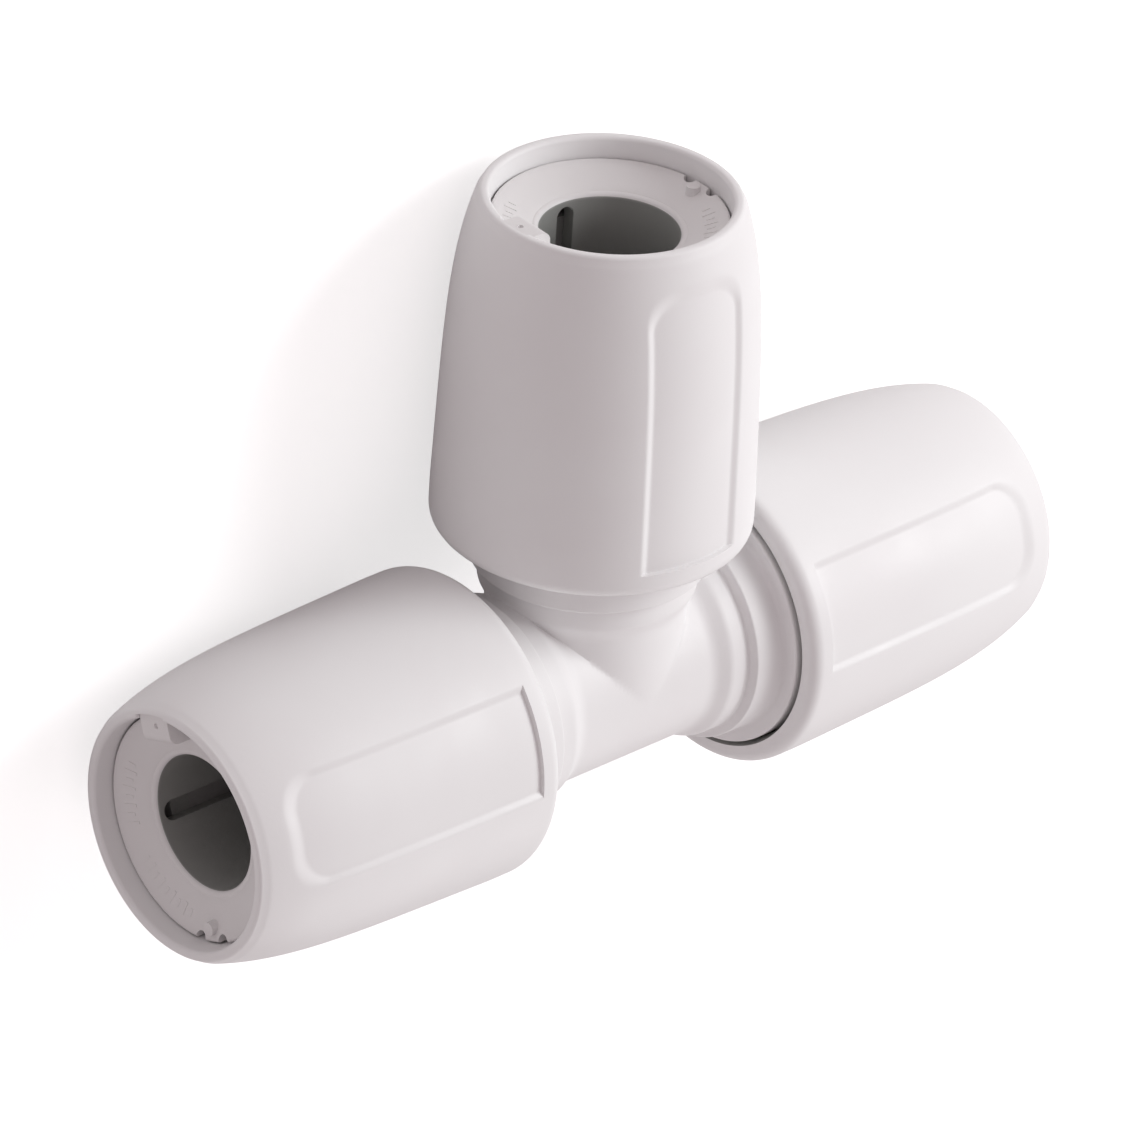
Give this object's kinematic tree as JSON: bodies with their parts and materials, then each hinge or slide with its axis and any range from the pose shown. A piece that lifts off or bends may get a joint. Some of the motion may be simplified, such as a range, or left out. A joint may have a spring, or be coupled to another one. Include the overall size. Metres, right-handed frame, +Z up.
{
  "type": "equal tee",
  "caption": "Push-fit equal tee for water pipe, with a round-bodied cap and a press-in release collet on each arm.",
  "frame": {"origin": "on the surface that the tee lies on, under the middle of its bounding box", "axes": "+X along the run, +Y along the branch towards its mouth, +Z up, out of the plane of the three arms"},
  "size_m": [0.1184, 0.077, 0.0358],
  "materials": {
    "body_plastic": "satin moulded",
    "cap_plastic": "satin moulded",
    "collet_plastic": "satin moulded",
    "inner_plastic": "plain moulded",
    "grab_steel": "stamped",
    "seal_rubber": "moulded"
  },
  "bodies": {
    "root": {"body": "body_plastic", "left_cap": "cap_plastic", "right_cap": "cap_plastic", "branch_cap": "cap_plastic", "left_guide_bush": "inner_plastic", "right_guide_bush": "inner_plastic", "branch_guide_bush": "inner_plastic", "left_spacer_washer": "inner_plastic", "right_spacer_washer": "inner_plastic", "branch_spacer_washer": "inner_plastic", "left_grab_ring": "grab_steel", "right_grab_ring": "grab_steel", "branch_grab_ring": "grab_steel", "left_backing_washer": "inner_plastic", "right_backing_washer": "inner_plastic", "branch_backing_washer": "inner_plastic", "left_seal_ring": "seal_rubber", "right_seal_ring": "seal_rubber", "branch_seal_ring": "seal_rubber"},
    "left_collet": {"left_release_collet": "collet_plastic"},
    "right_collet": {"right_release_collet": "collet_plastic"},
    "branch_collet": {"branch_release_collet": "collet_plastic"}
  },
  "joints": [
    {"name": "left_release", "type": "slide", "parent": "root", "child": "left_collet", "axis": [1, 0, 0], "range_m": [0, 0.0015]},
    {"name": "right_release", "type": "slide", "parent": "root", "child": "right_collet", "axis": [-1, 0, 0], "range_m": [0, 0.0015]},
    {"name": "branch_release", "type": "slide", "parent": "root", "child": "branch_collet", "axis": [0, -1, 0], "range_m": [0, 0.0015]}
  ]
}
